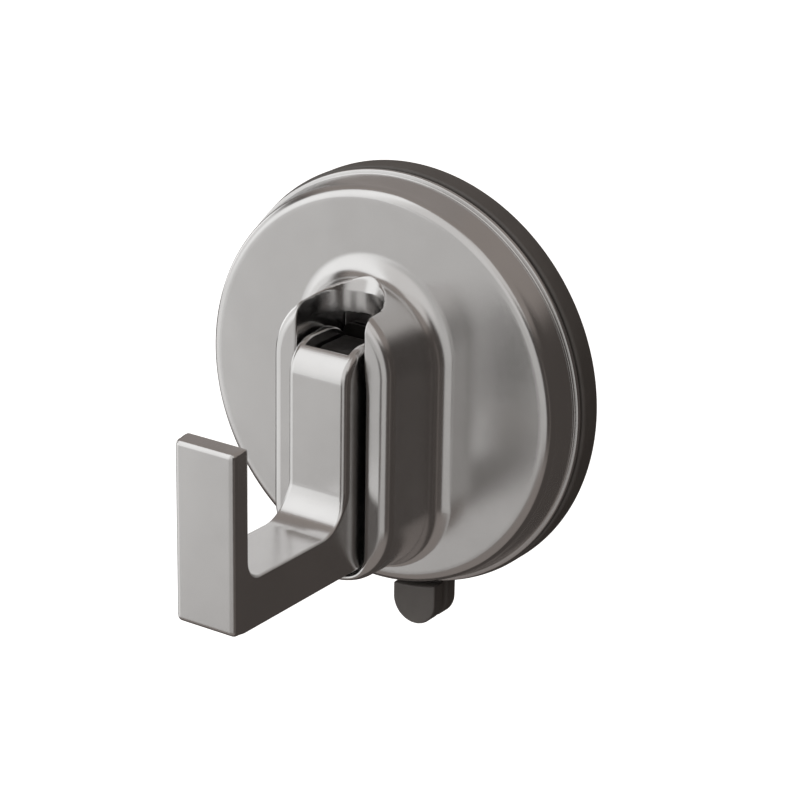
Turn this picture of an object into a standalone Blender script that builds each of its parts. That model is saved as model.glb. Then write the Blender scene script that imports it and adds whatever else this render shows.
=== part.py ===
"""Lever-lock suction cup hook.

A round cast cover with a slotted boss holds a rubber suction cup against a smooth wall. The hook hangs
in the slot on a cross pin. Its cheeks are cams: hook down, they pull the stem and the middle of the
rubber cup off the wall and lock the suction. Hook up, the spring pushes the rubber back.

Frame: the wall is the plane y = 0 and the front faces -Y, the suction axis is x = z = 0, +Z is up.
Lengths below are millimetres. "Depth" is the distance in front of the wall, so y = -depth.
"""
import math

import bmesh
import bpy
from mathutils import Vector

MM = 0.001

# clearances
GAP = 0.3                 # between pieces that touch or slide
LOOSE = 0.5               # between the stem's blade and the hook's cheeks

# how far the lever pulls the middle of the cup off the wall, over a quarter turn
TRAVEL = 2.5

# rubber suction cup
CUP_R = 32.5
CUP_RING_T = 3.8          # thick outer ring
CUP_RING_W = 5.5
SEAL_W = 6.5              # flat sealing face at the rim
SKIN_T = 2.0
HUB_R = 10.0
HUB_REAR_T = 0.9          # rubber behind the stem's flange
HUB_LIP_T = 1.0           # rubber in front of it
CUP_EDGE = 0.35

# upright pull tab at the foot of the cup, to the right of the middle
TAB_X = 4.85
TAB_W = 7.6
TAB_OUT = 6.1             # how far it stands out below the cup
TAB_FRONT = 5.9
TAB_REAR = 0.15
TAB_ROUND = 0.4
TAB_GROOVE = 0.35
TAB_GROOVE_W = 1.1
TAB_ROOT = 1.5            # how far its root reaches into the cup's ring

# stem
FLANGE_R = 6.5
FLANGE_T = 1.2
SHANK_R = 3.4
BLADE_HALF = 3.3
BLADE_FOOT = -3.6         # lower edge of the blade
EYE_R = 3.2

# cross pin
PIN_R = 1.5
PIN_Z = 5.4
CAM_REACH = 7.6           # from the pin's axis to the cam's contact, hook down

# cover, turned part
LIP_SET = 0.4             # the cup's edge shows this far outside the lip
LIP_T = 0.7
LIP_W = 1.4
LIP_FILLET = 0.8
RIM_ROUND = 1.6
SIDE_T = 1.4
FLOOR_T = 1.6
INNER_FILLET = 0.8
COLLAR_T = 1.3

# boss on the cover
BOSS_R = 10.7
BOSS_TOP = 6.5            # height of the centre of the upper arc
BOSS_MARGIN = 3.5         # between the boss's lowest point and the cover's side
BOSS_PROUD = 3.4          # boss in front of the pin's axis
BOSS_ROUND = 1.9
FOOT_SPREAD = 3.5         # how far the foot fillet spreads at the sides
FOOT_DEPTH = 3.4
FOOT_RISE = 0.7           # extra spread of the fillet at the top
FOOT_TUCK = 2.3           # the fillet spreads less at the bottom

# slot, pocket and well in the boss
SLOT_HALF = 6.0
SLOT_BRIDGE = 1.2         # metal between the slot's foot and the boss's
SLOT_CORNER = 4.6
SLOT_EDGE = 1.1           # rounding of the slot's front edge
POCKET_FLOOR_T = 0.9      # metal behind the pocket
POCKET_TOP = 12.3
WELL_SET = 1.8            # the well's rear is this far in front of the cover's face
RIM_CUT_Z = 16.0          # the well's rear rim is chamfered above this height
RIM_CUT = 1.1

# wear plate that the cams bear on
PLATE_T = 0.5
PLATE_TOP = 9.4
PLATE_FOOT = -6.4
PLATE_CORNER = 1.5

# backing ring inside the cover, held by three screws
RING_W = 7.5
RING_T = 2.0
RING_WEB_T = 1.4
SCREW_INSET = 3.3         # screw centres, in from the cover's inner wall
SCREW_COUNT = 3
SCREW_R = 0.9
SCREW_HEAD_R = 1.9
SCREW_HEAD_T = 0.7
POST_R = 2.6
FACE_LEFT = 1.3           # metal left in front of the screw's blind hole

# return spring and its seat
SEAT_T = 0.4
SPRING_ROOM = 1.7         # between the seat and the cover's floor
WIRE_R = 0.4
COIL_IN = 6.5
COIL_OUT = 9.3
COIL_TURNS = 2.5

# hook
HOOK_HALF = 5.3
BLOCK_FRONT = 6.6         # metal in front of the pin's axis
FRONT_WALL_T = 2.5
HOLLOW_FLOOR_T = 5.97
CAM_FLAT = 7.4            # length of the cam's flat below the pin
HEEL_T = 9.8              # thickness of the block at its foot
HEEL_RISE = 4.97
HEEL_CUT = 2.6
HEEL_CUT_RISE = 1.2
HEEL_RUN = 6.0
ARM_CLEAR = 2.03          # under the arm, in the slot
ARM_T = 7.73
BLOCK_FILLET = 5.5
PADDLE_FILLET = 3.0
THROAT = 22.8             # between the paddle and the block
PADDLE_T = 3.3
PADDLE_RISE = 19.94       # paddle above the arm
EDGE_BLOCK = 1.1
EDGE_PADDLE = 0.9
EDGE_FINE = 0.4

STEPS = 72
OVERCUT = 5.0             # how far a cutter runs out past the metal

# sizes that follow from the ones above
CUP_RING_IN = CUP_R - CUP_RING_W
SEAL_IN_R = CUP_R - SEAL_W
TAB_REACH = CUP_R + TAB_OUT
LIP_R = CUP_R - LIP_SET
WALL_R = LIP_R - LIP_W
BOSS_FOOT = BOSS_R + BOSS_MARGIN - WALL_R
SLOT_FOOT = BOSS_FOOT - BOSS_R + SLOT_BRIDGE
HUB_D = TRAVEL + HUB_REAR_T + 2 * GAP + FLANGE_T + HUB_LIP_T
FLANGE_D = TRAVEL + HUB_REAR_T + GAP
BORE_R = SHANK_R + GAP
SEAT_D = HUB_D + GAP
LIP_D = CUP_RING_T + GAP
INNER_R = WALL_R - SIDE_T
FLOOR_D = SEAT_D + SEAT_T + SPRING_ROOM
FACE_D = FLOOR_D + FLOOR_T
COLLAR_D = SEAT_D + SEAT_T + GAP
POCKET_D = FLOOR_D + POCKET_FLOOR_T
WELL_D = FACE_D + WELL_SET
RING_OUT = INNER_R - GAP
RING_IN = RING_OUT - RING_W
SCREW_AT_R = INNER_R - SCREW_INSET
RING_D = CUP_RING_T + GAP
RING_FRONT = RING_D + RING_T
PLATE_D = POCKET_D + GAP
PLATE_FRONT = PLATE_D + PLATE_T
PIN_D = PLATE_FRONT + GAP + CAM_REACH
BOSS_D = PIN_D + BOSS_PROUD
CAM_DROP = TRAVEL / (math.pi / 2)
NOSE_R = CAM_REACH - TRAVEL
HOLLOW_HALF = BLADE_HALF + LOOSE
BLADE_D = PLATE_FRONT + TRAVEL + GAP
WELL_CENTRE = WELL_D + SLOT_HALF
PIN_HALF = HOOK_HALF - GAP
BLOCK_D = PIN_D + BLOCK_FRONT
CAM_FLAT_Z = PIN_Z - CAM_FLAT
ARM_FOOT = SLOT_FOOT + ARM_CLEAR
ARM_TOP = ARM_FOOT + ARM_T
HOLLOW_FOOT = ARM_FOOT + HOLLOW_FLOOR_T
REAR_D = BLOCK_D - HEEL_T
REAR_Z = ARM_FOOT + HEEL_RISE
PADDLE_D = BLOCK_D + THROAT + PADDLE_T
PADDLE_TOP = ARM_TOP + PADDLE_RISE


def arc(cu, cv, radius, start, end, count):
    """Points on an arc in a plane, angles in degrees."""
    points = []
    for i in range(count + 1):
        a = math.radians(start + (end - start) * i / count)
        points.append((cu + radius * math.cos(a), cv + radius * math.sin(a)))
    return points


def to_object(name, bm, origin=(0.0, 0.0, 0.0), smooth=35.0):
    """Turn a bmesh in millimetres into an object in metres with its origin at the given point."""
    bmesh.ops.remove_doubles(bm, verts=bm.verts, dist=1e-5)
    bmesh.ops.recalc_face_normals(bm, faces=bm.faces)
    bmesh.ops.scale(bm, vec=(MM, MM, MM), verts=bm.verts)
    place = Vector(origin) * MM
    bmesh.ops.translate(bm, vec=-place, verts=bm.verts)
    mesh = bpy.data.meshes.new(name)
    bm.to_mesh(mesh)
    bm.free()
    mesh.shade_smooth()
    mesh.set_sharp_from_angle(angle=math.radians(smooth))
    obj = bpy.data.objects.new(name, mesh)
    obj.location = place
    bpy.context.scene.collection.objects.link(obj)
    return obj


def skin(rings, closed_ends=True):
    """Bridge rings of equal length and cap the ends."""
    bm = bmesh.new()
    rows = [[bm.verts.new(p) for p in ring] for ring in rings]
    count = len(rows[0])
    for lower, upper in zip(rows, rows[1:]):
        for i in range(count):
            j = (i + 1) % count
            bm.faces.new((lower[i], lower[j], upper[j], upper[i]))
    if closed_ends:
        bm.faces.new(rows[0])
        bm.faces.new(rows[-1])
    return bm


def turned(profile, steps=STEPS):
    """Spin a closed (radius, depth) profile about the suction axis."""
    bm = bmesh.new()
    rows = []
    for radius, depth in profile:
        if radius < 1e-6:
            rows.append([bm.verts.new((0.0, -depth, 0.0))])
            continue
        row = []
        for i in range(steps):
            a = 2 * math.pi * i / steps
            row.append(bm.verts.new((radius * math.cos(a), -depth, radius * math.sin(a))))
        rows.append(row)
    for k, row in enumerate(rows):
        after = rows[(k + 1) % len(rows)]
        if len(row) == 1 and len(after) == 1:
            continue
        for i in range(steps):
            j = (i + 1) % steps
            if len(row) == 1:
                bm.faces.new((row[0], after[i], after[j]))
            elif len(after) == 1:
                bm.faces.new((row[i], after[0], row[j]))
            else:
                bm.faces.new((row[i], after[i], after[j], row[j]))
    return bm


def prism_x(outline, half, centre=0.0):
    """Extrude a (y, z) outline along X, symmetric about the given x."""
    low = [(centre - half, y, z) for y, z in outline]
    high = [(centre + half, y, z) for y, z in outline]
    return skin([low, high])


def prism_y(outline, rear, front):
    """Extrude an (x, z) outline between two depths."""
    return skin([[(x, -rear, z) for x, z in outline], [(x, -front, z) for x, z in outline]])


def prism_z(outline, low, high):
    """Extrude an (x, y) outline between two heights."""
    return skin([[(x, y, low) for x, y in outline], [(x, y, high) for x, y in outline]])


def rod_y(radius, rear, front, x=0.0, z=0.0, steps=32):
    """A cylinder along the suction axis."""
    return prism_y(arc(x, z, radius, 0, 360 * (steps - 1) / steps, steps - 1), rear, front)


def stepped_rod(profile, grow, x, z, steps=24):
    """A stepped cylinder along the suction axis from (radius, depth) pairs, each radius made larger by grow."""
    rings = []
    for radius, depth in profile:
        circle = arc(x, z, radius + grow, 0, 360 * (steps - 1) / steps, steps - 1)
        rings.append([(u, -depth, v) for u, v in circle])
    return skin(rings)


def evaluate(obj):
    """Fix the object's modifiers into its mesh."""
    graph = bpy.context.evaluated_depsgraph_get()
    mesh = bpy.data.meshes.new_from_object(obj.evaluated_get(graph))
    mesh.name = obj.name
    obj.modifiers.clear()
    obj.data = mesh


def combine(obj, bm, operation):
    """Boolean a tool, given as a bmesh in millimetres, with the object."""
    tool = to_object(obj.name + "_tool", bm, tuple(c / MM for c in obj.location))
    modifier = obj.modifiers.new("tool", "BOOLEAN")
    modifier.operation = operation
    modifier.solver = "EXACT"
    modifier.object = tool
    evaluate(obj)
    bpy.data.objects.remove(tool)


def finish(obj, material, smooth=35.0):
    """Merge stray points, shade the piece and give it its material."""
    bm = bmesh.new()
    bm.from_mesh(obj.data)
    bmesh.ops.remove_doubles(bm, verts=bm.verts, dist=2e-6)
    bmesh.ops.dissolve_degenerate(bm, edges=bm.edges, dist=1e-6)
    bmesh.ops.recalc_face_normals(bm, faces=bm.faces)
    bm.to_mesh(obj.data)
    bm.free()
    obj.data.shade_smooth()
    obj.data.set_sharp_from_angle(angle=math.radians(smooth))
    obj.data.materials.clear()
    obj.data.materials.append(material)
    return obj


def material(name, colour, metallic, roughness):
    mat = bpy.data.materials.new(name)
    mat.use_nodes = True
    shader = mat.node_tree.nodes["Principled BSDF"]
    shader.inputs["Base Color"].default_value = (*colour, 1.0)
    shader.inputs["Metallic"].default_value = metallic
    shader.inputs["Roughness"].default_value = roughness
    return mat


def stadium(radius, top, foot, per_arc=20):
    """Upright stadium outline in (x, z)."""
    return arc(0, top, radius, 0, 180, per_arc) + arc(0, foot, radius, 180, 360, per_arc)


def slot_outline(grow, top):
    """Outline of the slot in (x, z): straight sides and rounded lower corners, flat top."""
    half = SLOT_HALF + grow
    corner = SLOT_CORNER + grow
    inset = SLOT_HALF - SLOT_CORNER
    level = SLOT_FOOT + SLOT_CORNER
    points = [(half, top), (-half, top)]
    points += arc(-inset, level, corner, 180, 270, 10)
    points += arc(inset, level, corner, 270, 360, 10)
    return points


def well_outline(grow, front):
    """Outline of the well from above in (x, y): a U whose round rear end grows, most in the middle."""
    points = [(SLOT_HALF, -front)]
    for i in range(21):
        a = math.radians(180 * i / 20)
        radius = SLOT_HALF + grow * math.sin(a)
        points.append((radius * math.cos(a), radius * math.sin(a) - WELL_CENTRE))
    points += [(-SLOT_HALF, -front)]
    return points


def edge_grow(inset):
    """How far a rounded edge has opened at a distance behind the boss's front plane."""
    rest = SLOT_EDGE - inset
    if rest <= 0:
        return 0.0
    return SLOT_EDGE - math.sqrt(SLOT_EDGE ** 2 - rest ** 2)


def dish(radius):
    """Depth of the cup's rear face at a radius, locked."""
    if radius <= HUB_R:
        return TRAVEL
    if radius >= SEAL_IN_R:
        return 0.0
    share = (radius - HUB_R) / (SEAL_IN_R - HUB_R)
    return TRAVEL * 0.5 * (1 + math.cos(math.pi * share))


def suction_cup(rubber):
    samples = [HUB_R + (SEAL_IN_R - HUB_R) * i / 6 for i in range(7)]
    profile = [(0.0, TRAVEL)]
    profile += [(r, dish(r)) for r in samples]
    profile += [(CUP_R - CUP_EDGE, 0.0), (CUP_R, CUP_EDGE)]
    profile += [(CUP_R, CUP_RING_T - CUP_EDGE), (CUP_R - CUP_EDGE, CUP_RING_T)]
    profile += [(CUP_RING_IN + CUP_EDGE, CUP_RING_T), (CUP_RING_IN, CUP_RING_T - CUP_EDGE)]
    profile += [(CUP_RING_IN, SKIN_T + CUP_EDGE)]
    profile += [(r, SKIN_T + dish(r)) for r in reversed(samples[1:])]
    profile += [(HUB_R, HUB_D - CUP_EDGE), (HUB_R - CUP_EDGE, HUB_D)]
    profile += [(BORE_R, HUB_D), (BORE_R, HUB_D - HUB_LIP_T)]
    profile += [(FLANGE_R + GAP, HUB_D - HUB_LIP_T), (FLANGE_R + GAP, TRAVEL + HUB_REAR_T)]
    profile += [(0.0, TRAVEL + HUB_REAR_T)]
    cup = to_object("suction_cup", turned(profile))

    half = TAB_W / 2
    seat = -(CUP_R + CUP_EDGE / 2)
    middle = (TAB_REAR + TAB_FRONT) / 2
    levels = [(TAB_REAR, TAB_ROUND), (TAB_REAR + TAB_ROUND * 0.3, TAB_ROUND * 0.3), (TAB_REAR + TAB_ROUND, 0.0)]
    levels += [(middle - TAB_GROOVE_W, 0.0), (middle - TAB_GROOVE_W * 0.4, TAB_GROOVE)]
    levels += [(middle + TAB_GROOVE_W * 0.4, TAB_GROOVE), (middle + TAB_GROOVE_W, 0.0)]
    levels += [(TAB_FRONT - TAB_ROUND, 0.0), (TAB_FRONT - TAB_ROUND * 0.3, TAB_ROUND * 0.3), (TAB_FRONT, TAB_ROUND)]
    rings = []
    for depth, inset in levels:
        r = half - inset
        outline = arc(TAB_X, half - TAB_REACH, r, 360, 180, 16)
        for i in range(9):
            x = TAB_X - r + 2 * r * i / 8
            outline.append((x, -math.sqrt(seat ** 2 - x ** 2)))
        rings.append([(x, -depth, z) for x, z in outline])
    combine(cup, skin(rings), "UNION")
    root_half = half - TAB_ROUND
    root_top = TAB_ROOT - CUP_R
    root_foot = seat - TAB_ROOT
    root = [(TAB_X + root_half, root_top), (TAB_X + root_half, root_foot)]
    root += [(TAB_X - root_half, root_foot), (TAB_X - root_half, root_top)]
    combine(cup, prism_y(root, TAB_REAR + TAB_ROUND, CUP_RING_T - CUP_EDGE), "UNION")
    return finish(cup, rubber)


def cover(metal):
    profile = [(INNER_R, LIP_D), (LIP_R - 0.25, LIP_D), (LIP_R, LIP_D + 0.2), (LIP_R, LIP_D + LIP_T - 0.2)]
    profile += [(LIP_R - 0.2, LIP_D + LIP_T)]
    lip_front = LIP_D + LIP_T
    profile += arc(WALL_R + LIP_FILLET, lip_front + LIP_FILLET, LIP_FILLET, 270, 180, 4)
    profile += arc(WALL_R - RIM_ROUND, FACE_D - RIM_ROUND, RIM_ROUND, 0, 90, 6)
    profile += [(BORE_R, FACE_D), (BORE_R, COLLAR_D), (BORE_R + COLLAR_T, COLLAR_D), (BORE_R + COLLAR_T, FLOOR_D)]
    profile += arc(INNER_R - INNER_FILLET, FLOOR_D - INNER_FILLET, INNER_FILLET, 90, 0, 3)
    body = to_object("cover", turned(profile))

    rings = []

    def level(depth, radius, top, foot):
        rings.append([(x, -depth, z) for x, z in stadium(radius, top, foot)])

    level(FACE_D - 0.5, BOSS_R + FOOT_SPREAD, BOSS_TOP + FOOT_RISE, BOSS_FOOT + FOOT_TUCK)
    for i in range(9):
        a = math.radians(90 * i / 8)
        share = 1 - math.sin(a)
        depth = FACE_D + FOOT_DEPTH * (1 - math.cos(a))
        level(depth, BOSS_R + FOOT_SPREAD * share, BOSS_TOP + FOOT_RISE * share, BOSS_FOOT + FOOT_TUCK * share)
    for i in range(7):
        a = math.radians(90 * i / 6)
        level(BOSS_D - BOSS_ROUND * (1 - math.sin(a)), BOSS_R - BOSS_ROUND * (1 - math.cos(a)), BOSS_TOP, BOSS_FOOT)
    combine(body, skin(rings), "UNION")

    # posts for the backing ring's screws
    for k in range(SCREW_COUNT):
        x, z = screw_place(k)
        combine(body, rod_y(POST_R, RING_FRONT + GAP, FLOOR_D + 0.3, x, z, 24), "UNION")
    for k in range(SCREW_COUNT):
        x, z = screw_place(k)
        combine(body, rod_y(SCREW_R + GAP, RING_FRONT, FACE_D - FACE_LEFT, x, z, 16), "DIFFERENCE")

    # slot with a rounded front edge, and the pocket behind it
    above = BOSS_TOP + BOSS_R + FOOT_SPREAD
    cuts = [(POCKET_D, 0.0)]
    for i in range(6):
        inset = SLOT_EDGE * (1 - math.sin(math.radians(90 * i / 5)))
        cuts.append((BOSS_D - inset, edge_grow(inset)))
    cuts.append((BOSS_D + 1.0, SLOT_EDGE))
    rings = [[(x, -depth, z) for x, z in slot_outline(grow, POCKET_TOP)] for depth, grow in cuts]
    combine(body, skin(rings), "DIFFERENCE")

    # well: the slot's open upper end, round at the rear when seen from above
    half = SLOT_HALF
    plan = [(half + g, -d) for d, g in reversed(cuts[1:])]
    plan += arc(0, -WELL_CENTRE, half, 0, 180, 20)
    plan += [(-half - g, -d) for d, g in cuts[1:]]
    combine(body, prism_z(plan, POCKET_TOP - 0.3, above), "DIFFERENCE")

    # chamfer round the well's rear rim
    rings = []
    for height, grow in ((RIM_CUT_Z, 0.0), (RIM_CUT_Z + RIM_CUT, RIM_CUT), (above, RIM_CUT + GAP)):
        rings.append([(x, y, height) for x, y in well_outline(grow, BOSS_D + 1)])
    combine(body, skin(rings), "DIFFERENCE")
    return finish(body, metal, 28.0)


def screw_place(index):
    a = math.radians(90 + 360 * index / SCREW_COUNT)
    return SCREW_AT_R * math.cos(a), SCREW_AT_R * math.sin(a)


def press_ring(plastic):
    web_front = FLOOR_D - GAP
    profile = [(RING_IN, RING_D), (RING_OUT, RING_D), (RING_OUT, RING_FRONT)]
    profile += [(RING_IN + RING_WEB_T, RING_FRONT), (RING_IN + RING_WEB_T, web_front), (RING_IN, web_front)]
    ring = to_object("press_ring", turned(profile))
    for k in range(SCREW_COUNT):
        x, z = screw_place(k)
        seat = RING_D + SCREW_HEAD_T + GAP
        steps = [(SCREW_HEAD_R, RING_D - 1), (SCREW_HEAD_R, seat), (SCREW_R, seat), (SCREW_R, RING_FRONT + 1)]
        combine(ring, stepped_rod(steps, GAP, x, z), "DIFFERENCE")
    return finish(ring, plastic)


def ring_screw(index, steel):
    x, z = screw_place(index)
    head_rear = RING_D
    head_front = head_rear + SCREW_HEAD_T
    tip = FACE_D - FACE_LEFT - GAP
    screw = to_object("ring_screw_%d" % (index + 1), rod_y(SCREW_HEAD_R, head_rear, head_front, x, z, 24),
                      (x, -head_rear, z))
    combine(screw, rod_y(SCREW_R, head_front - 0.3, tip, x, z, 16), "UNION")
    cross = SCREW_HEAD_R * 0.55
    for wide, tall in ((cross, 0.22), (0.22, cross)):
        outline = [(x - wide, z - tall), (x + wide, z - tall), (x + wide, z + tall), (x - wide, z + tall)]
        combine(screw, prism_y(outline, head_rear - 1, head_rear + SCREW_HEAD_T * 0.5), "DIFFERENCE")
    return finish(screw, steel)


def slide_plate(steel):
    half = SLOT_HALF - GAP
    corner = PLATE_CORNER
    outline = arc(half - corner, PLATE_TOP - corner, corner, 0, 90, 4)
    outline += arc(-half + corner, PLATE_TOP - corner, corner, 90, 180, 4)
    outline += arc(-half + corner, PLATE_FOOT + corner, corner, 180, 270, 4)
    outline += arc(half - corner, PLATE_FOOT + corner, corner, 270, 360, 4)
    plate = to_object("slide_plate", prism_y(outline, PLATE_D, PLATE_FRONT))
    combine(plate, rod_y(BORE_R, PLATE_D - 1, PLATE_FRONT + 1, 0, 0, 36), "DIFFERENCE")
    return finish(plate, steel)


def spring_seat(steel):
    profile = [(BORE_R, SEAT_D), (HUB_R - CUP_EDGE, SEAT_D), (HUB_R - CUP_EDGE, SEAT_D + SEAT_T)]
    profile += [(BORE_R, SEAT_D + SEAT_T)]
    return finish(to_object("spring_washer", turned(profile, 36)), steel)


def return_spring(steel):
    """Near-flat cone of wire between its seat on the cup and the cover's floor."""
    start = SEAT_D + SEAT_T + GAP + WIRE_R
    end = FLOOR_D - GAP - WIRE_R
    curve = bpy.data.curves.new("return_spring", "CURVE")
    curve.dimensions = "3D"
    curve.bevel_depth = WIRE_R * MM
    curve.bevel_resolution = 2
    curve.use_fill_caps = True
    count = int(COIL_TURNS * 20)
    spline = curve.splines.new("POLY")
    spline.points.add(count)
    for i, point in enumerate(spline.points):
        share = i / count
        a = 2 * math.pi * COIL_TURNS * share
        radius = COIL_OUT + (COIL_IN - COIL_OUT) * share
        depth = start + (end - start) * share
        point.co = (radius * math.cos(a) * MM, -depth * MM, radius * math.sin(a) * MM, 1.0)
    spring = bpy.data.objects.new("return_spring", curve)
    bpy.context.scene.collection.objects.link(spring)
    curve.materials.append(steel)
    return spring


def stem(steel):
    neck_end = BLADE_D + 1.5
    profile = [(0.0, FLANGE_D), (FLANGE_R, FLANGE_D), (FLANGE_R, FLANGE_D + FLANGE_T), (SHANK_R, FLANGE_D + FLANGE_T)]
    profile += [(SHANK_R, neck_end), (0.0, neck_end)]
    body = to_object("stem", turned(profile, 36))
    top = PIN_Z + EYE_R
    outline = [(-BLADE_D, BLADE_FOOT), (-BLADE_D, top)]
    outline += arc(-PIN_D, PIN_Z, EYE_R, 90, 220, 16)
    outline += [(-BLADE_D - 1.6, BLADE_FOOT)]
    combine(body, prism_x(outline, BLADE_HALF), "UNION")
    combine(body, pin_bore(BLADE_HALF + 1), "DIFFERENCE")
    return finish(body, steel)


def pin_bore(half):
    return prism_x(arc(-PIN_D, PIN_Z, PIN_R + GAP, 0, 360 * 31 / 32, 31), half)


def pivot_pin(steel):
    outline = arc(0.0, 0.0, PIN_R, 0, 360 * 31 / 32, 31)
    bm = prism_x(outline, PIN_HALF)
    bmesh.ops.translate(bm, vec=(0, -PIN_D, PIN_Z), verts=bm.verts)
    return finish(to_object("pivot_pin", bm, (0, -PIN_D, PIN_Z)), steel)


def cam_point(turn):
    """Point of the cam that touches the wear plate after the hook is lifted by an angle."""
    reach = CAM_REACH - CAM_DROP * turn
    y = reach * math.cos(turn) + CAM_DROP * math.sin(turn)
    z = reach * math.sin(turn) - CAM_DROP * math.cos(turn)
    return -PIN_D + y, PIN_Z + z


def hook_outline():
    inner = PADDLE_D - PADDLE_T
    points = [(-PADDLE_D, ARM_FOOT), (-PADDLE_D, PADDLE_TOP), (-inner, PADDLE_TOP)]
    points += arc(-inner + PADDLE_FILLET, ARM_TOP + PADDLE_FILLET, PADDLE_FILLET, 180, 270, 6)
    points += arc(-BLOCK_D - BLOCK_FILLET, ARM_TOP + BLOCK_FILLET, BLOCK_FILLET, 270, 360, 10)
    points += arc(-BLOCK_D + NOSE_R, PIN_Z, NOSE_R, 180, 90, 12)
    points += [cam_point(math.pi / 2 * (1 - i / 12)) for i in range(13)]
    points += [(-PIN_D + CAM_REACH, CAM_FLAT_Z), (-REAR_D, REAR_Z)]
    points += [(-REAR_D - HEEL_CUT, ARM_FOOT + HEEL_CUT_RISE), (-REAR_D - HEEL_RUN, ARM_FOOT)]
    return points


def edge_size(edge, place):
    """Rounding of one edge of the hook, chosen by where it lies; 0 leaves it sharp."""
    ends = [(v.co + place) / MM for v in edge.verts]
    middle = (ends[0] + ends[1]) / 2
    depth = -middle.y
    front_end = min(-e.y for e in ends) > PADDLE_D - 0.1
    if abs(ends[0].x - ends[1].x) > 0.1:
        whole = abs(ends[0].x - ends[1].x) > 2 * HOOK_HALF - 0.1
        if front_end:
            return EDGE_PADDLE
        if whole and depth > PADDLE_D - PADDLE_T - 0.1 and middle.z > PADDLE_TOP - 0.1:
            return EDGE_FINE
        return 0.0
    if abs(abs(middle.x) - HOOK_HALF) > 0.01 or len(edge.link_faces) != 2:
        return 0.0
    if edge.calc_face_angle(0.0) < math.radians(60):
        return 0.0
    if math.hypot(depth - PIN_D, middle.z - PIN_Z) < PIN_R + 2 * GAP:
        return 0.0
    if front_end:
        return EDGE_PADDLE
    if depth < BLOCK_D + 0.1 and middle.z > ARM_TOP + BLOCK_FILLET - 0.1 and depth > BLOCK_D - NOSE_R:
        return EDGE_BLOCK
    if BLOCK_D < depth < BLOCK_D + BLOCK_FILLET and ARM_TOP < middle.z < ARM_TOP + BLOCK_FILLET:
        share = (depth - BLOCK_D) / BLOCK_FILLET
        return EDGE_BLOCK + (EDGE_FINE - EDGE_BLOCK) * min(1.0, share * 1.5)
    return EDGE_FINE


def hook(metal):
    body = to_object("hook", prism_x(hook_outline(), HOOK_HALF), (0, -PIN_D, PIN_Z))

    # hollow between the cheeks, open to the rear and above, and the bore for the pin
    front = BLOCK_D - FRONT_WALL_T
    above = PIN_Z + NOSE_R + OVERCUT
    hollow = [(-front, HOLLOW_FOOT), (-front, above), (-POCKET_D, above), (-POCKET_D, HOLLOW_FOOT)]
    combine(body, prism_x(hollow, HOLLOW_HALF), "DIFFERENCE")
    combine(body, pin_bore(HOOK_HALF + 1), "DIFFERENCE")

    bm = bmesh.new()
    bm.from_mesh(body.data)
    bmesh.ops.dissolve_limit(bm, angle_limit=math.radians(0.5), verts=bm.verts, edges=bm.edges)
    weight = bm.edges.layers.float.new("bevel_weight_edge")
    place = Vector(body.location)
    for edge in bm.edges:
        edge[weight] = edge_size(edge, place) / EDGE_BLOCK
    bm.to_mesh(body.data)
    bm.free()
    bevel = body.modifiers.new("edges", "BEVEL")
    bevel.limit_method = "WEIGHT"
    bevel.width = EDGE_BLOCK * MM
    bevel.segments = 3
    bevel.use_clamp_overlap = False
    evaluate(body)
    return finish(body, metal)


def main():
    for obj in list(bpy.data.objects):
        bpy.data.objects.remove(obj)
    satin = material("satin_nickel", (0.47, 0.45, 0.43), 1.0, 0.32)
    steel = material("zinc_steel", (0.55, 0.56, 0.58), 1.0, 0.35)
    rubber = material("black_rubber", (0.02, 0.019, 0.018), 0.0, 0.55)
    plastic = material("dark_plastic", (0.05, 0.05, 0.05), 0.0, 0.5)

    housing = bpy.data.objects.new("housing_frame", None)
    lever = bpy.data.objects.new("lever_axis", None)
    lever.location = (0, -PIN_D * MM, PIN_Z * MM)
    for empty in (housing, lever):
        bpy.context.scene.collection.objects.link(empty)

    fixed = [cover(satin), press_ring(plastic), slide_plate(steel), suction_cup(rubber)]
    fixed += [ring_screw(k, steel) for k in range(SCREW_COUNT)]
    fixed += [return_spring(steel), spring_seat(steel), stem(steel), pivot_pin(steel)]
    for obj in fixed:
        obj.parent = housing
    grip = hook(satin)
    grip.parent = lever
    grip.location = (0, 0, 0)


main()
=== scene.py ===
"""Looks of the lever-lock suction cup hook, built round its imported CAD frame.

Lengths in the shape functions are millimetres. The wall is y = 0 and the front faces -Y, so a point's
depth is -y. The cover's front and the hook are meshed from distance fields, which gives them true
roundings; the other visible pieces are turned.
"""
import math

import bmesh
import bpy
import numpy as np
from mathutils import Matrix, Vector


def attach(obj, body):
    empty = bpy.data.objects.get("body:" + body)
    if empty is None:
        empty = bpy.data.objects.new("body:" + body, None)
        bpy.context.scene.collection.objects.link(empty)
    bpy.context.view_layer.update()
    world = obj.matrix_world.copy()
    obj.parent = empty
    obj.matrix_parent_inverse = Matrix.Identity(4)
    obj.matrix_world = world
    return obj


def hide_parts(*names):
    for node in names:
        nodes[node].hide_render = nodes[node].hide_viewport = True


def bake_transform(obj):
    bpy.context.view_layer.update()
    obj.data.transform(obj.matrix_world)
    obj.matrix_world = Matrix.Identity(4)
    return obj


MM = 0.001

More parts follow.
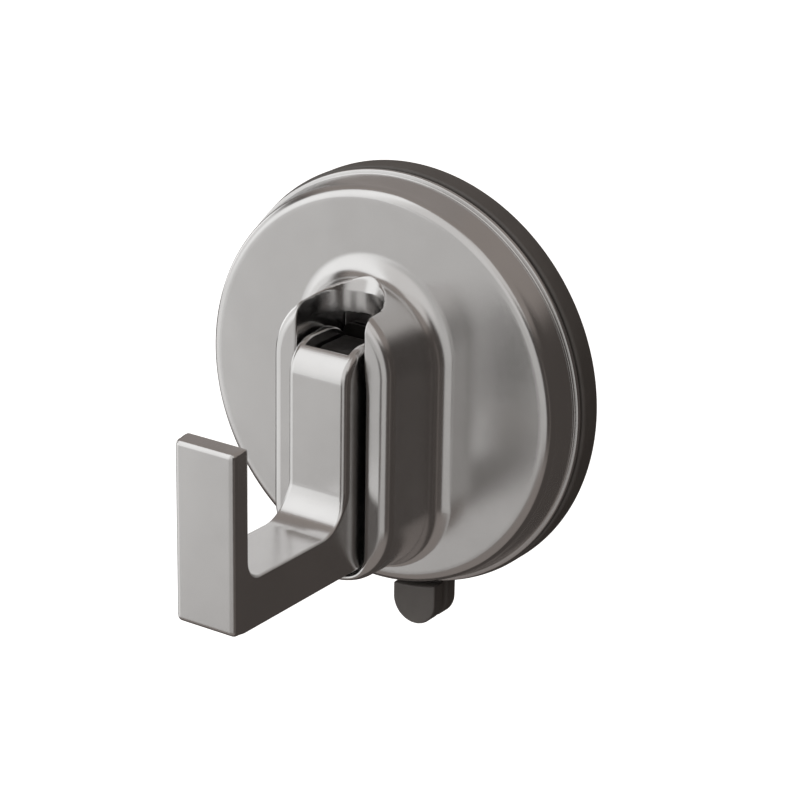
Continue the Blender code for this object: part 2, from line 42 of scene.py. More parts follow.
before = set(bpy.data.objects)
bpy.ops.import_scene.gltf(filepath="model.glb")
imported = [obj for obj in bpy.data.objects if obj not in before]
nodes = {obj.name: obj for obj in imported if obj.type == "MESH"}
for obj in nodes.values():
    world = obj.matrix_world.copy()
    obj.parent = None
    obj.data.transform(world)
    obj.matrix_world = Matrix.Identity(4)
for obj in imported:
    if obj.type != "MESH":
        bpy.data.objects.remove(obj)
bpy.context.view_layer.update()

# cover
LIP_R = 32.1
LIP_REAR = 4.1
LIP_T = 0.7
WALL_R = 30.7
RIM_ROUND = 1.6
FACE_D = 10.2
INNER_R = 29.3
FLOOR_D = 8.6
INNER_FILLET = 0.8
BORE_R = 3.7
COLLAR_R = 5.0
COLLAR_D = 7.2
LIP_GROOVE = 0.75
GROOVE_R = 0.2
CHAMFER = 0.3
EDGE_R = 0.2

# boss on the cover, with its slot, pocket and well
BOSS_R = 10.7
BOSS_TOP = 6.5
BOSS_FOOT = -16.5
BOSS_D = 21.6
BOSS_ROUND = 1.9
DRAFT = 0.7                # the boss's wall flares this much from its rounded front to its foot
FOOT_DEPTH = 2.8
FOOT_TUCK = 1.6
FOOT_CROWN = 1.0
TOP_DRAFT = 0.6            # share of the draft that the boss's round top gives back
SLOT_HALF = 6.0
SLOT_FOOT = -26.0
SLOT_CORNER = 4.6
SLOT_EDGE = 1.1
TOP_EDGE = 0.28
POCKET_D = 9.5
POCKET_TOP = 12.3
WELL_D = 12.6
RIM_CUT_Z = 15.7
RIM_CUT = 3.0
RIM_SLOPE = 0.3
POCKET_FILLET = 0.06
EDGE_LOW_Z = 3.5
EDGE_HIGH_Z = 9.5

# hook
HOOK_HALF = 5.3
PIN_D = 18.2
PIN_Z = 5.4
NOSE_R = 5.1
CAM_REACH = 7.6
CAM_DROP = 2.5 / (math.pi / 2)
CAM_FLAT_Z = -2.0
BLOCK_D = 24.8
BLOCK_FILLET = 5.5
HOLLOW_HALF = 3.8
HOLLOW_FOOT = -18.0
FRONT_WALL_T = 2.5
REAR_D = 15.0
REAR_Z = -19.0
HEEL = ((2.6, 1.2), (6.0, 0.0))
HOLLOW_EDGE = 0.3
PIN_EDGE = 0.15
ARM_TOP = -16.24
ARM_FOOT = -23.97
PADDLE_D = 50.9
PADDLE_T = 3.3
PADDLE_TOP = 3.7
PADDLE_FILLET = 3.0
EDGE_BLOCK = 1.1
EDGE_PADDLE = 0.9
EDGE_FINE = 0.45
PIN_BORE_R = 1.8

# rubber cup
CUP_R = 32.5
CUP_RING_T = 3.8
CUP_RING_IN = 27.0
SEAL_IN_R = 26.0
HUB_R = 10.0
HUB_D = 6.2
TRAVEL = 2.5
SKIN_T = 2.0
TAB_X = 4.85
TAB_W = 7.6
TAB_REACH = 38.6
TAB_FRONT = 5.9
TAB_REAR = 0.15
TAB_SEAT_R = 32.675
TAB_EDGE = 0.22
TAB_GROOVE_R = 0.62
TAB_GROOVE_FLAT = 1.6
TAB_ROOT_REACH = 1.5
RING_EDGE = 0.5
SEAL_STEP = 0.2
HUB_EDGE = 0.4
HUB_LIP_T = 1.0
STEM_R = 3.7
FLANGE_R = 6.8
FLANGE_T = 0.9

# screws, their posts and the return spring, all inside the cover
SCREW_AT_R = 26.0
POST_R = 2.6
POST_BORE_R = 1.2
POST_D = 6.4
POST_BORE_D = 8.9
POST_SINK = 0.5
POSTS = 3
SEAT_FRONT = 6.9
WIRE_R = 0.4
COIL_OUT = 9.3
COIL_IN = 6.5
COIL_TURNS = 2.5
COIL_GAP = 0.3
COIL_STEPS = 72
COIL_SIDES = 12

# meshing
FINE = 0.25
HOOK_FINE = 0.22
TAB_FINE = 0.16
TURNS = 240
ROOM = 0.5
AXIS_R = 0.01
NET_EDGE = 0.45
OVERLAP = 0.02

# floor, in metres
FLOOR_Z = -0.12
FLOOR_HALF = 3.0

# camera: degrees, millimetres, and the focal length in the photograph's pixels
CAMERA_AROUND = 34.328
CAMERA_ABOVE = 20.817
CAMERA_ROLL = 0.938
CAMERA_TARGET = (11.332, -20.0, 3.784)
CAMERA_AWAY = 402.75
FOCAL = 2816.1
PHOTO_WIDTH = 800.0
SENSOR = 36.0


def arc(cu, cv, radius, start, end, count):
    """Points on an arc in a plane, angles in degrees."""
    angles = np.radians(np.linspace(start, end, count + 1))
    return [(cu + radius * math.cos(a), cv + radius * math.sin(a)) for a in angles]


def rounded_max(a, b, radius):
    """Meet of two distance fields with their common edge rounded."""
    u = np.maximum(a + radius, 0)
    v = np.maximum(b + radius, 0)
    return np.minimum(np.maximum(a, b), -radius) + np.hypot(u, v)


def rounded_min(a, b, radius):
    """Union of two distance fields with a fillet in their corner."""
    u = np.maximum(radius - a, 0)
    v = np.maximum(radius - b, 0)
    return np.maximum(np.minimum(a, b), radius) - np.hypot(u, v)


def smooth_step(low, high, value):
    t = np.clip((value - low) / (high - low), 0, 1)
    return t * t * (3 - 2 * t)


def polygon_distance(points, u, v):
    """Signed distance to a closed outline, negative inside."""
    outline = np.array(points, float)
    after = np.roll(outline, -1, axis=0)
    best = np.full(u.shape, 1e9)
    inside = np.zeros(u.shape, bool)
    for (au, av), (bu, bv) in zip(outline, after):
        eu, ev = bu - au, bv - av
        wu, wv = u - au, v - av
        t = np.clip((wu * eu + wv * ev) / (eu * eu + ev * ev), 0, 1)
        best = np.minimum(best, (wu - t * eu) ** 2 + (wv - t * ev) ** 2)
        if ev != 0:
            crosses = (av > v) != (bv > v)
            inside ^= crosses & (u < eu * (v - av) / ev + au)
    return np.where(inside, -1, 1) * np.sqrt(best)


def slope_of(field, points, reach=0.01):
    """Gradient of a field by central differences."""
    slope = np.zeros_like(points)
    for axis in range(3):
        shift = np.zeros(3)
        shift[axis] = reach
        slope[:, axis] = (field(*(points + shift).T) - field(*(points - shift).T)) / (2 * reach)
    return slope


def settle(field, points, limit, rounds=3):
    """Move points onto the field's zero surface and give their normals."""
    for _ in range(rounds):
        slope = slope_of(field, points)
        step = slope * (field(*points.T) / np.maximum((slope ** 2).sum(1), 1e-9))[:, None]
        size = np.linalg.norm(step, axis=1)
        points = points - step * np.minimum(1, limit / np.maximum(size, 1e-9))[:, None]
    normals = slope_of(field, points)
    return points, normals / np.maximum(np.linalg.norm(normals, axis=1), 1e-9)[:, None]


def surface_net(field, low, high, step, wanted=None):
    """Quads on a field's zero surface inside a box. Returns points, quads and normals."""
    low = np.array(low, float)
    axes = [np.arange(a, b + step / 2, step) for a, b in zip(low, high)]
    values = field(*np.meshgrid(*axes, indexing="ij"))
    cells = np.array(values.shape) - 1
    count = np.zeros(cells.prod())
    total = np.zeros((cells.prod(), 3))
    quads = []
    for axis in range(3):
        u, v = (axis + 1) % 3, (axis + 2) % 3
        first = values.take(range(cells[axis]), axis)
        last = values.take(range(1, cells[axis] + 1), axis)
        index = np.argwhere((first < 0) != (last < 0))
        here = first[tuple(index.T)]
        there = last[tuple(index.T)]
        point = index.astype(float)
        point[:, axis] += here / (here - there)
        ids = []
        valid = []
        for du, dv in ((-1, -1), (0, -1), (0, 0), (-1, 0)):
            cell = index.copy()
            cell[:, u] += du
            cell[:, v] += dv
            good = ((cell >= 0) & (cell < cells)).all(1)
            flat = np.ravel_multi_index(np.clip(cell, 0, cells - 1).T, cells)
            count += np.bincount(flat[good], minlength=len(count))
            for k in range(3):
                total[:, k] += np.bincount(flat[good], point[good, k], len(count))
            ids.append(flat)
            valid.append(good)
        ids = np.stack(ids, 1)
        ids = np.where((here < 0)[:, None], ids, ids[:, ::-1])
        quads.append(ids[np.all(valid, 0)])
    quads = np.concatenate(quads)
    used = np.flatnonzero(count)
    points = np.zeros((len(count), 3))
    points[used] = low + step * total[used] / count[used, None]
    if wanted is not None:
        fine = np.zeros(len(count), bool)
        fine[used] = wanted(*points[used].T)
        quads = quads[fine[quads].all(1)]
    used = np.unique(quads)
    order = np.zeros(len(count), int)
    order[used] = np.arange(len(used))
    points, normals = settle(field, points[used], step / 2)
    return points, order[quads], normals


def mesh_object(name, points, faces, normals=None, sharp=None):
    """A smooth object from points in millimetres. A row of zeros in normals leaves that point's own."""
    mesh = bpy.data.meshes.new(name)
    mesh.from_pydata((np.asarray(points) * MM).tolist(), [], [list(map(int, f)) for f in faces])
    mesh.validate()
    mesh.shade_smooth()
    if sharp is not None:
        mesh.set_sharp_from_angle(angle=math.radians(sharp))
    if normals is not None:
        mesh.normals_split_custom_set_from_vertices(np.asarray(normals).tolist())
    obj = bpy.data.objects.new(name, mesh)
    bpy.context.scene.collection.objects.link(obj)
    return obj


def turned_faces(profile, steps, closed):
    """Points and faces of a (radius, depth) profile spun about the suction axis."""
    points = []
    for radius, depth in profile:
        for i in range(steps):
            a = 2 * math.pi * i / steps
            points.append((radius * math.cos(a), -depth, radius * math.sin(a)))
    faces = []
    rows = len(profile)
    for k in range(rows if closed else rows - 1):
        low = k * steps
        high = ((k + 1) % rows) * steps
        for i in range(steps):
            j = (i + 1) % steps
            faces.append((low + i, high + i, high + j, low + j))
    return points, faces


def stadium_distance(x, z, flare):
    """Distance to the boss's outline, which grows at its sides by flare."""
    level = np.clip(z, BOSS_FOOT + flare, BOSS_TOP - TOP_DRAFT * flare)
    return np.hypot(x, z - level) - BOSS_R - flare


def foot_spread(x, z):
    """How far the concave foot runs out from the boss: most at the top, little at the bottom."""
    reach = np.maximum(np.hypot(x, z - np.clip(z, BOSS_FOOT, BOSS_TOP)), 1e-6)
    fall = np.maximum(BOSS_FOOT - z, 0) / reach
    rise = np.maximum(z - BOSS_TOP, 0) / reach
    return FOOT_DEPTH + FOOT_CROWN * rise - FOOT_TUCK * fall


def slot_distance(x, y, z):
    """Distance to the air in the slot, its pocket and the well above, negative in the air."""
    depth = -y
    side = np.abs(x)
    inset = SLOT_HALF - SLOT_CORNER
    level = SLOT_FOOT + SLOT_CORNER
    corner = np.hypot(np.maximum(side - inset, 0), np.maximum(level - z, 0)) - SLOT_CORNER
    below = np.maximum(np.maximum(side - SLOT_HALF, corner), SLOT_FOOT - z)
    slot = rounded_max(np.maximum(below, z - POCKET_TOP), POCKET_D - depth, POCKET_FILLET)
    back = np.minimum(depth - WELL_D - SLOT_HALF, 0)
    reach = np.maximum(np.hypot(x, back), 1e-6)
    grow = RIM_SLOPE * np.clip(z - RIM_CUT_Z, 0, RIM_CUT) * -back / reach
    well = np.maximum(reach - SLOT_HALF - grow, POCKET_TOP - OVERLAP - z)
    return np.minimum(slot, well)


def cover_distance(x, y, z):
    """Distance to the cover's front: plate, boss on its foot, slot and bore."""
    depth = -y
    start = BOSS_D - BOSS_ROUND
    end = FACE_D + FOOT_DEPTH
    wall = stadium_distance(x, z, DRAFT * np.clip((start - depth) / (start - end), 0, 1))
    boss = rounded_max(wall, depth - BOSS_D, BOSS_ROUND)
    plate = depth - FACE_D
    foot = rounded_min(wall * FOOT_DEPTH / foot_spread(x, z), plate, FOOT_DEPTH)
    solid = np.where(depth < end + EDGE_R, np.minimum(foot, np.maximum(boss, wall)), boss)
    solid = np.minimum(solid, boss)
    edge = SLOT_EDGE + (TOP_EDGE - SLOT_EDGE) * smooth_step(EDGE_LOW_Z, EDGE_HIGH_Z, z)
    air = slot_distance(x, y, z)
    solid = rounded_max(solid, -air, edge)
    bore = np.hypot(x, z) - BORE_R
    return np.maximum(solid, -bore)


def rim_profile():
    """(radius, depth) of the cover from the face's edge over the wall, lip and rear to its bore."""
    edge_r = WALL_R - RIM_ROUND
    lip_front = LIP_REAR + LIP_T
    groove_r = LIP_R - LIP_GROOVE + 0.1
    e = EDGE_R
    profile = [(edge_r, FACE_D)] + arc(edge_r, FACE_D - RIM_ROUND, RIM_ROUND, 90, 0, 10)[1:]
    profile += [(WALL_R + 0.12, lip_front + 2.4), (groove_r, lip_front + 0.75), (groove_r, lip_front + 0.55)]
    profile += arc(groove_r + 0.06, lip_front + 0.28, GROOVE_R, 150, 270, 5)
    profile += arc(LIP_R - e, lip_front - 0.1, e, 90, 0, 3)
    profile += arc(LIP_R - e, LIP_REAR + e, e, 0, -90, 3)
    profile += [(INNER_R + CHAMFER, LIP_REAR), (INNER_R, LIP_REAR + CHAMFER)]
    profile += arc(INNER_R - INNER_FILLET, FLOOR_D - INNER_FILLET, INNER_FILLET, 0, 90, 4)
    profile += [(COLLAR_R, FLOOR_D), (COLLAR_R, COLLAR_D + e), (COLLAR_R - e, COLLAR_D)]
    profile += [(BORE_R + e, COLLAR_D), (BORE_R, COLLAR_D + e), (BORE_R, POCKET_D - 0.7)]
    return profile


def post_profile():
    """(radius, depth) of a screw post with its blind bore, rooted in the cover's plate."""
    root_d = FACE_D - POST_SINK
    profile = [(AXIS_R, POST_BORE_D), (POST_BORE_R, POST_BORE_D), (POST_BORE_R, POST_D), (POST_R, POST_D)]
    return profile + [(POST_R, FLOOR_D + CHAMFER), (POST_BORE_R + CHAMFER, root_d), (AXIS_R, root_d)]


def join_rim(points, quads, edge_r):
    """Points and faces of the meshed front closed with the turned rim at its edge and its bore."""
    turned, faces = turned_faces(rim_profile(), TURNS, False)
    bm = bmesh.new()
    verts = [bm.verts.new(p) for p in points]
    for quad in quads:
        bm.faces.new([verts[i] for i in quad])
    ring = [bm.verts.new(p) for p in turned]
    for face in faces:
        bm.faces.new([ring[i] for i in face])
    bm.normal_update()
    front = []
    bore = []
    for e in [e for e in bm.edges if len(e.link_faces) == 1]:
        middle = (e.verts[0].co + e.verts[1].co) / 2
        near_rim = math.hypot(middle.x, middle.z) > edge_r - 2
        (front if near_rim else bore).append(e)
    bmesh.ops.triangle_fill(bm, edges=front, normal=(0, -1, 0), use_beauty=True)
    bmesh.ops.bridge_loops(bm, edges=bore)
    bmesh.ops.recalc_face_normals(bm, faces=bm.faces)
    bm.verts.index_update()
    coords = [tuple(v.co) for v in bm.verts]
    polygons = [[v.index for v in f.verts] for f in bm.faces]
    bm.free()
    return coords, polygons


def cover_piece():
    """The cover: its meshed front joined to the turned rim, with the screw posts behind it."""
    edge_r = WALL_R - RIM_ROUND
    low = (-edge_r, -BOSS_D - 0.6, -edge_r)
    high = (edge_r, -(POCKET_D - ROOM), edge_r)

    def wanted(x, y, z):
        return np.hypot(x, z) < edge_r - NET_EDGE

    points, quads, normals = surface_net(cover_distance, low, high, FINE, wanted)
    coords, polygons = join_rim(points, quads, edge_r)
    for k in range(POSTS):
        a = math.radians(90 + 360 / POSTS * k)
        post, faces = turned_faces(post_profile(), 48, True)
        start = len(coords)
        coords += [(x + SCREW_AT_R * math.cos(a), y, z + SCREW_AT_R * math.sin(a)) for x, y, z in post]
        polygons += [[start + i for i in face] for face in faces]
    blend = np.zeros((len(coords), 3))
    blend[:len(normals)] = normals
    return mesh_object("cover_shell", coords, polygons, blend, 40)


def cam_point(turn):
    """Point of the cam that bears on the plate once the hook has turned so far."""
    reach = CAM_REACH - CAM_DROP * turn
    y = reach * math.cos(turn) + CAM_DROP * math.sin(turn)
    z = reach * math.sin(turn) - CAM_DROP * math.cos(turn)
    return -PIN_D + y, PIN_Z + z


def hook_outline():
    """Side view of the hook in (y, z), with its front lower and upper corners rounded."""
    inner = PADDLE_D - PADDLE_T
    r = EDGE_PADDLE
    t = EDGE_FINE
    points = arc(-PADDLE_D + r, ARM_FOOT + r, r, 270, 180, 6)
    points += arc(-PADDLE_D + r, PADDLE_TOP - r, r, 180, 90, 6)
    points += arc(-inner - t, PADDLE_TOP - t, t, 90, 0, 4)
    points += arc(-inner + PADDLE_FILLET, ARM_TOP + PADDLE_FILLET, PADDLE_FILLET, 180, 270, 16)
    points += arc(-BLOCK_D - BLOCK_FILLET, ARM_TOP + BLOCK_FILLET, BLOCK_FILLET, 270, 360, 24)
    points += arc(-BLOCK_D + NOSE_R, PIN_Z, NOSE_R, 180, 90, 28)
    points += [cam_point(math.pi / 2 * (1 - i / 28)) for i in range(1, 29)]
    points += [(-PIN_D + CAM_REACH, CAM_FLAT_Z), (-REAR_D, REAR_Z)]
    points += [(-REAR_D - out, ARM_FOOT + up) for out, up in HEEL]
    return points


HOOK_OUTLINE = hook_outline()


def hook_edge(y, z):
    """Rounding of the hook's side edges, chosen by where they lie."""
    depth = -y
    block = smooth_step(ARM_TOP + 1.5, ARM_TOP + BLOCK_FILLET, z)
    block *= smooth_step(BLOCK_D - NOSE_R - 4, BLOCK_D - NOSE_R, depth)
    block *= smooth_step(BLOCK_D + BLOCK_FILLET, BLOCK_D + 1.0, depth)
    end = smooth_step(PADDLE_D - PADDLE_T + 0.8, PADDLE_D - 1.0, depth)
    return EDGE_FINE + (EDGE_BLOCK - EDGE_FINE) * block + (EDGE_PADDLE - EDGE_FINE) * end


def hook_distance(x, y, z):
    """Distance to the hook: its outline's thickness with the hollow head and the pin's bore."""
    if x.ndim == 3:
        side = polygon_distance(HOOK_OUTLINE, y[:1], z[:1])
        edge = hook_edge(y[:1], z[:1])
    else:
        side = polygon_distance(HOOK_OUTLINE, y, z)
        edge = hook_edge(y, z)
    solid = rounded_max(side + 0 * x, np.abs(x) - HOOK_HALF, edge)
    front = BLOCK_D - FRONT_WALL_T
    hollow = rounded_max(np.abs(x) - HOLLOW_HALF, -front - y, 0.0)
    hollow = rounded_max(hollow, HOLLOW_FOOT - z, 0.0)
    solid = rounded_max(solid, -hollow, HOLLOW_EDGE)
    bore = np.hypot(y + PIN_D, z - PIN_Z) - PIN_BORE_R
    return rounded_max(solid, -bore, PIN_EDGE)


def hook_piece():
    """The hook, meshed in a box with room round it."""
    low = (-HOOK_HALF - ROOM, -PADDLE_D - ROOM, ARM_FOOT - ROOM)
    high = (HOOK_HALF + 0.6, -PIN_D + CAM_REACH + 0.7, PIN_Z + NOSE_R + 1.6)
    points, quads, normals = surface_net(hook_distance, low, high, HOOK_FINE)
    return mesh_object("hook_lever", points, quads, normals)


def dish(radius):
    """Depth of the cup's rear face at a radius, locked."""
    share = np.clip((radius - HUB_R) / (SEAL_IN_R - HUB_R), 0, 1)
    return TRAVEL * 0.5 * (1 + math.cos(math.pi * share))


def cup_ring_piece():
    """Thick outer ring of the rubber cup."""
    r = RING_EDGE
    inner = SEAL_IN_R + SEAL_STEP
    profile = [(inner, 0.0)] + arc(CUP_R - r, r, r, 270, 360, 6)
    profile += arc(CUP_R - r, CUP_RING_T - r, r, 0, 90, 6)
    profile += arc(CUP_RING_IN + r, CUP_RING_T - r, r, 90, 180, 4)
    profile += [(CUP_RING_IN, SKIN_T), (inner, SKIN_T)]
    points, faces = turned_faces(profile, TURNS, True)
    return mesh_object("cup_ring", points, faces, None, 40)


def tab_distance(x, y, z):
    """Distance to the pull tab: round-ended, grooved at mid-thickness, seated round the cup, on a root."""
    depth = -y
    half = TAB_W / 2
    middle = (TAB_REAR + TAB_FRONT) / 2
    plan = np.hypot(x - TAB_X, np.minimum(z - half + TAB_REACH, 0)) - half
    groove = np.hypot(depth - middle, plan * TAB_GROOVE_FLAT) - TAB_GROOVE_R
    plan = rounded_max(plan, -groove, 0.25)
    plan = rounded_max(plan, TAB_SEAT_R - np.hypot(x, z), 0.15)
    body = rounded_max(plan, np.abs(depth - middle) - (TAB_FRONT - TAB_REAR) / 2, TAB_EDGE)
    root = np.maximum(z + CUP_R - TAB_ROOT_REACH, -TAB_ROOT_REACH - CUP_R - z)
    root = np.maximum(np.abs(x - TAB_X) - half + 0.5, root)
    root = np.maximum(root, np.abs(depth - CUP_RING_T / 2) - CUP_RING_T / 2 + 0.4)
    return rounded_min(body, root, 0.2)


def tab_piece():
    """The cup's pull tab, meshed in a box with room round it."""
    half = TAB_W / 2
    low = (TAB_X - half - ROOM, -TAB_FRONT - ROOM, -TAB_REACH - ROOM)
    high = (TAB_X + half + ROOM, 0.3, -CUP_R + 2.2)
    points, quads, normals = surface_net(tab_distance, low, high, TAB_FINE)
    return mesh_object("cup_tab", points, quads, normals)


def cup_disc_piece():
    """The thin wall of the rubber cup and its hub round the stem's flange."""
    samples = np.linspace(HUB_R, SEAL_IN_R, 20)
    inner = SEAL_IN_R + SEAL_STEP
    pocket_d = HUB_D - HUB_LIP_T
    profile = [(AXIS_R, TRAVEL)] + [(r, dish(r)) for r in samples] + [(inner, 0.0), (inner, SKIN_T)]
    profile += [(r, SKIN_T + dish(r)) for r in samples[:0:-1]]
    profile += [(HUB_R, HUB_D - HUB_EDGE), (HUB_R - HUB_EDGE, HUB_D), (STEM_R, HUB_D), (STEM_R, pocket_d)]
    profile += [(FLANGE_R, pocket_d), (FLANGE_R, TRAVEL + FLANGE_T), (AXIS_R, TRAVEL + FLANGE_T)]
    points, faces = turned_faces(profile, 96, True)
    return mesh_object("cup_disc", points, faces, None, 40)


def spring_piece():
    """Near-flat cone of wire, from its seat to the cover's floor."""
    count = int(COIL_TURNS * COIL_STEPS)
    sides = COIL_SIDES
    start = SEAT_FRONT + COIL_GAP + WIRE_R
    end = FLOOR_D - COIL_GAP - WIRE_R
    section = arc(0, 0, WIRE_R, 0, 360 - 360 / sides, sides - 1)
    points = []
    for i in range(count + 1):
        share = i / count
        a = 2 * math.pi * COIL_TURNS * share
        radius = COIL_OUT + (COIL_IN - COIL_OUT) * share
        depth = start + (end - start) * share
        points += [((radius + u) * math.cos(a), -depth - v, (radius + u) * math.sin(a)) for u, v in section]
    faces = []
    for i in range(count):
        for k in range(sides):
            a = i * sides + k
            b = i * sides + (k + 1) % sides
            faces.append((a, b, b + sides, a + sides))
    faces.append(list(range(sides - 1, -1, -1)))
    faces.append([count * sides + k for k in range(sides)])
    return mesh_object("spring_coil", points, faces, None, 60)


class Nodes:
    """Short calls for building a material's node tree."""

    def __init__(self, name):
        self.material = bpy.data.materials.new(name)
        self.material.use_nodes = True
        self.tree = self.material.node_tree
        self.shader = self.tree.nodes["Principled BSDF"]
        self.place = self.add("ShaderNodeTexCoord").outputs["Object"]

    def add(self, kind, **settings):
        node = self.tree.nodes.new(kind)
        for key, value in settings.items():
            setattr(node, key, value)
        return node

    def link(self, source, target):
        self.tree.links.new(source, target)

    def noise(self, scale, detail=3.0, rough=0.5, stretch=None):
        node = self.add("ShaderNodeTexNoise")
        node.inputs["Scale"].default_value = scale
        node.inputs["Detail"].default_value = detail
        node.inputs["Roughness"].default_value = rough
        if stretch is None:
            self.link(self.place, node.inputs["Vector"])
            return node.outputs["Fac"]
        mapping = self.add("ShaderNodeMapping")
        mapping.inputs["Scale"].default_value = stretch
        self.link(self.place, mapping.inputs["Vector"])
        self.link(mapping.outputs["Vector"], node.inputs["Vector"])
        return node.outputs["Fac"]

    def remap(self, value, low, high, start=0.3, end=0.7):
        node = self.add("ShaderNodeMapRange")
        node.inputs["From Min"].default_value = start
        node.inputs["From Max"].default_value = end
        node.inputs["To Min"].default_value = low
        node.inputs["To Max"].default_value = high
        self.link(value, node.inputs["Value"])
        return node.outputs["Result"]

    def mix(self, factor, first, second):
        node = self.add("ShaderNodeMix", data_type="RGBA")
        node.inputs["A"].default_value = (*first, 1)
        node.inputs["B"].default_value = (*second, 1)
        self.link(factor, node.inputs["Factor"])
        return node.outputs["Result"]

    def math(self, operation, a, b):
        node = self.add("ShaderNodeMath", operation=operation)
        for socket, value in zip(node.inputs, (a, b)):
            if isinstance(value, (int, float)):
                socket.default_value = value
            else:
                self.link(value, socket)
        return node.outputs["Value"]

    def set(self, name, value):
        self.shader.inputs[name].default_value = value

    def colour(self, value, first, second):
        """Base colour that wanders between two colours with a noise."""
        self.link(self.mix(self.remap(value, 0.0, 1.0), first, second), self.shader.inputs["Base Color"])

    def roughness(self, value):
        self.link(value, self.shader.inputs["Roughness"])

    def bump(self, height, strength, distance):
        node = self.add("ShaderNodeBump")
        node.inputs["Strength"].default_value = strength
        node.inputs["Distance"].default_value = distance
        self.link(height, node.inputs["Height"])
        self.link(node.outputs["Normal"], self.shader.inputs["Normal"])


def satin_nickel():
    """Pearl nickel plating over a blasted casting: fine sparkling grain, faint clouds, a few soft marks."""
    m = Nodes("satin_nickel_plate")
    grain = m.noise(7000.0, 2.0, 0.7)
    cloud = m.noise(140.0, 3.0, 0.5)
    wide = m.noise(40.0, 2.0, 0.5)
    m.colour(cloud, (0.645, 0.638, 0.632), (0.68, 0.673, 0.667))
    m.set("Metallic", 1.0)
    m.roughness(m.math("ADD", m.remap(wide, 0.19, 0.21), m.remap(grain, -0.03, 0.03)))
    m.bump(grain, 0.28, 0.00002)
    return m.material


def black_rubber():
    """Moulded black rubber: a soft sheen, a fine moulded grain and a little dust in it."""
    m = Nodes("moulded_rubber")
    grain = m.noise(4200.0, 2.0, 0.6)
    cloud = m.noise(220.0, 3.0, 0.5)
    m.colour(cloud, (0.115, 0.106, 0.098), (0.14, 0.129, 0.12))
    m.roughness(m.math("ADD", m.remap(cloud, 0.44, 0.50), m.remap(grain, -0.05, 0.05)))
    m.set("Specular IOR Level", 0.5)
    m.bump(grain, 0.35, 0.00004)
    return m.material


def steel_in_painted_shade():
    """Zinc-plated pressed steel with a faint rolling direction, coloured near-black as painted shade for the
    dark hollow these parts sit in.
    """
    m = Nodes("steel_painted_hollow_shade")
    brush = m.noise(900.0, 4.0, 0.6, (1.0, 1.0, 12.0))
    cloud = m.noise(300.0, 3.0, 0.5)
    # near-black base colour: painted shade for the hollow these parts sit in
    m.colour(cloud, (0.030, 0.028, 0.027), (0.045, 0.042, 0.040))
    m.set("Metallic", 0.6)
    m.roughness(m.remap(brush, 0.34, 0.5))
    m.bump(brush, 0.2, 0.00003)
    return m.material


def spring_steel():
    """Bright drawn wire."""
    m = Nodes("drawn_spring_wire")
    drawn = m.noise(1500.0, 3.0, 0.5)
    m.colour(drawn, (0.30, 0.30, 0.31), (0.42, 0.42, 0.43))
    m.set("Metallic", 1.0)
    m.roughness(m.remap(drawn, 0.22, 0.36))
    m.bump(drawn, 0.15, 0.00002)
    return m.material


def moulded_plastic():
    """Dark moulded plastic with a fine spark texture."""
    m = Nodes("moulded_dark_plastic")
    texture = m.noise(2500.0, 2.0, 0.5)
    cloud = m.noise(200.0, 2.0, 0.5)
    m.colour(cloud, (0.03, 0.03, 0.031), (0.045, 0.045, 0.046))
    m.roughness(m.remap(texture, 0.42, 0.56))
    m.bump(texture, 0.3, 0.00004)
    return m.material


def dress(obj, material):
    obj.data.materials.clear()
    obj.data.materials.append(material)


NICKEL = satin_nickel()
RUBBER = black_rubber()
HOLLOW_SHADE_STEEL = steel_in_painted_shade()
WIRE = spring_steel()
PLASTIC = moulded_plastic()

shell = cover_piece()
dress(shell, NICKEL)
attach(shell, "housing")
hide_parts("cover")

lever = hook_piece()
dress(lever, NICKEL)
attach(lever, "hook_lever")
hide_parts("hook")

for piece in (cup_ring_piece(), tab_piece()):
    dress(piece, RUBBER)
    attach(piece, "housing")
    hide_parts("suction_cup")

disc = cup_disc_piece()
dress(disc, RUBBER)
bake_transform(disc)
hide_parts("suction_cup")

coil = spring_piece()
dress(coil, WIRE)
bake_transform(coil)
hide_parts("return_spring")

dress(nodes["press_ring"], PLASTIC)
# the parts inside the hollow get the near-black steel, which paints the hollow's shade
HOLLOW_SHADE_NODES = ["slide_plate", "stem", "pivot_pin", "spring_washer"]
HOLLOW_SHADE_NODES += ["ring_screw_%d" % (k + 1) for k in range(POSTS)]
for name in HOLLOW_SHADE_NODES:
    dress(nodes[name], HOLLOW_SHADE_STEEL)


# soft panels and dark gaps round the object: azimuth from the front towards +X, elevation, softness, light
WARM_DARK = (0.075, 0.065, 0.060)
PANELS = [
    ((-200, 200), (26, 100), 8, (0.32, 0.285, 0.265)),
    ((-200, -112), (10, 100), 6, (0.32, 0.290, 0.275)),
    ((-75, 62), (-100, -28), 8, (0.27, 0.24, 0.225)),
    ((62, 69), (-60, 10), 2, (0.17, 0.15, 0.14)),
    ((-60, 31), (-27, 26), 3, (0.58, 0.57, 0.56)),
    ((-34, 22), (6, 70), 5, (0.80, 0.785, 0.775)),
    ((20, 60), (27, 70), 6, (0.75, 0.73, 0.715)),
    ((-100, -40), (-30, 14), 5, (0.95, 0.945, 0.94)),
    ((-116, -98), (-12, 12), 3, (1.45, 1.45, 1.45)),
    ((-68, -31), (-10, 66), 3, (1.20, 1.20, 1.20)),
]


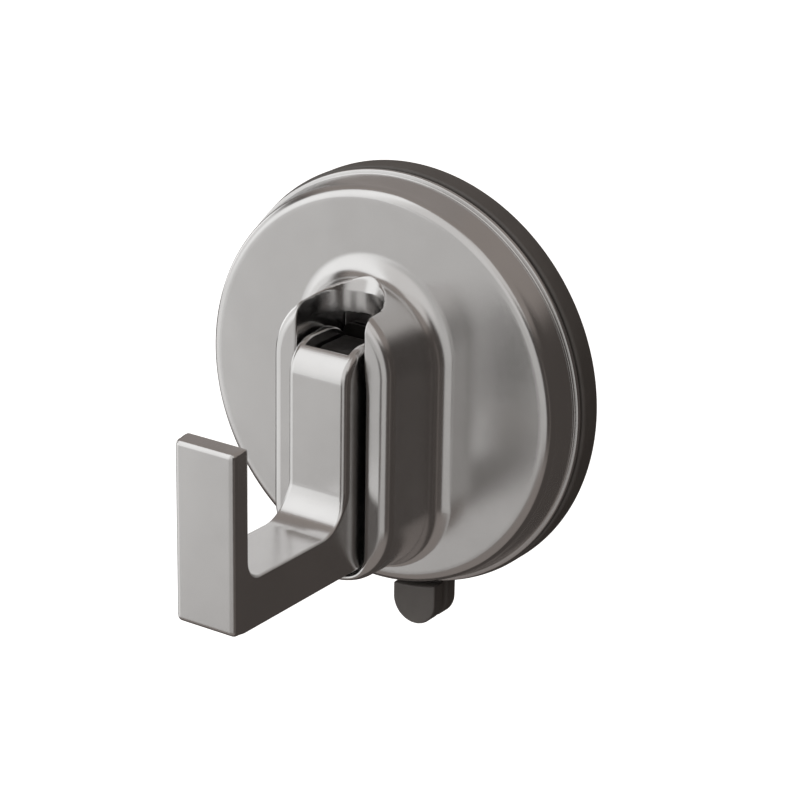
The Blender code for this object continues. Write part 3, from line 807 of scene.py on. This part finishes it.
def studio():
    """White surroundings for the camera, and soft panels and dark gaps that only reflections see."""
    world = bpy.data.worlds.new("studio")
    bpy.context.scene.world = world
    world.use_nodes = True
    tree = world.node_tree

    def add(kind, **settings):
        node = tree.nodes.new(kind)
        for key, value in settings.items():
            setattr(node, key, value)
        return node

    def math_node(operation, *values):
        node = add("ShaderNodeMath", operation=operation)
        for socket, value in zip(node.inputs, values):
            if isinstance(value, (int, float)):
                socket.default_value = value
            else:
                tree.links.new(value, socket)
        return node.outputs["Value"]

    def rise(value, middle, soft):
        node = add("ShaderNodeMapRange", interpolation_type="SMOOTHSTEP")
        node.inputs["From Min"].default_value = middle - soft
        node.inputs["From Max"].default_value = middle + soft
        tree.links.new(value, node.inputs["Value"])
        return node.outputs["Result"]

    def window(value, limits, soft):
        return math_node("SUBTRACT", rise(value, limits[0], soft), rise(value, limits[1], soft))

    direction = add("ShaderNodeSeparateXYZ")
    tree.links.new(add("ShaderNodeTexCoord").outputs["Generated"], direction.inputs["Vector"])
    forward = math_node("MULTIPLY", direction.outputs["Y"], -1.0)
    azimuth = math_node("DEGREES", math_node("ARCTAN2", direction.outputs["X"], forward))
    elevation = math_node("DEGREES", math_node("ARCSINE", direction.outputs["Z"]))
    light = None
    for around, height, soft, colour in PANELS:
        share = math_node("MULTIPLY", window(azimuth, around, soft), window(elevation, height, soft))
        layer = add("ShaderNodeMix", data_type="RGBA")
        tree.links.new(share, layer.inputs["Factor"])
        if light is None:
            layer.inputs["A"].default_value = (*WARM_DARK, 1)
        else:
            tree.links.new(light, layer.inputs["A"])
        layer.inputs["B"].default_value = (*colour, 1)
        light = layer.outputs["Result"]

    seen = add("ShaderNodeMix", data_type="RGBA")
    tree.links.new(add("ShaderNodeLightPath").outputs["Is Camera Ray"], seen.inputs["Factor"])
    tree.links.new(light, seen.inputs["A"])
    seen.inputs["B"].default_value = (1, 1, 1, 1)
    tree.links.new(seen.outputs["Result"], tree.nodes["Background"].inputs["Color"])


def floor():
    """A plain pale floor well below the object, bright enough to stay white."""
    mesh = bpy.data.meshes.new("studio_floor")
    corners = [(FLOOR_HALF * u, FLOOR_HALF * v, FLOOR_Z) for u, v in ((-1, -1), (1, -1), (1, 1), (-1, 1))]
    mesh.from_pydata(corners, [], [(0, 1, 2, 3)])
    obj = bpy.data.objects.new("studio_floor", mesh)
    bpy.context.scene.collection.objects.link(obj)
    m = Nodes("pale_floor")
    m.set("Base Color", (0.9, 0.9, 0.9, 1))
    m.set("Roughness", 0.9)
    m.set("Specular IOR Level", 0.1)
    m.set("Emission Color", (1, 1, 1, 1))
    m.set("Emission Strength", 0.85)
    dress(obj, m.material)
    obj.visible_glossy = False
    obj.visible_diffuse = False


def place_camera():
    """The photograph's view."""
    azimuth, elevation, roll = map(math.radians, (CAMERA_AROUND, CAMERA_ABOVE, CAMERA_ROLL))
    target = Vector(CAMERA_TARGET) * MM
    back = Vector((math.sin(azimuth) * math.cos(elevation), -math.cos(azimuth) * math.cos(elevation),
                   math.sin(elevation)))
    right = Vector((0, 0, 1)).cross(back).normalized()
    up = back.cross(right)
    turned_right = math.cos(roll) * right + math.sin(roll) * up
    turned_up = -math.sin(roll) * right + math.cos(roll) * up
    data = bpy.data.cameras.new("camera")
    data.sensor_width = SENSOR
    data.lens = FOCAL * SENSOR / PHOTO_WIDTH
    data.clip_start = 0.01
    data.clip_end = 20.0
    camera = bpy.data.objects.new("camera", data)
    bpy.context.scene.collection.objects.link(camera)
    rotation = Matrix((turned_right, turned_up, back)).transposed()
    camera.matrix_world = Matrix.Translation(target + back * CAMERA_AWAY * MM) @ rotation.to_4x4()
    bpy.context.scene.camera = camera


studio()
floor()
place_camera()

scene = bpy.context.scene
scene.view_settings.view_transform = "Standard"
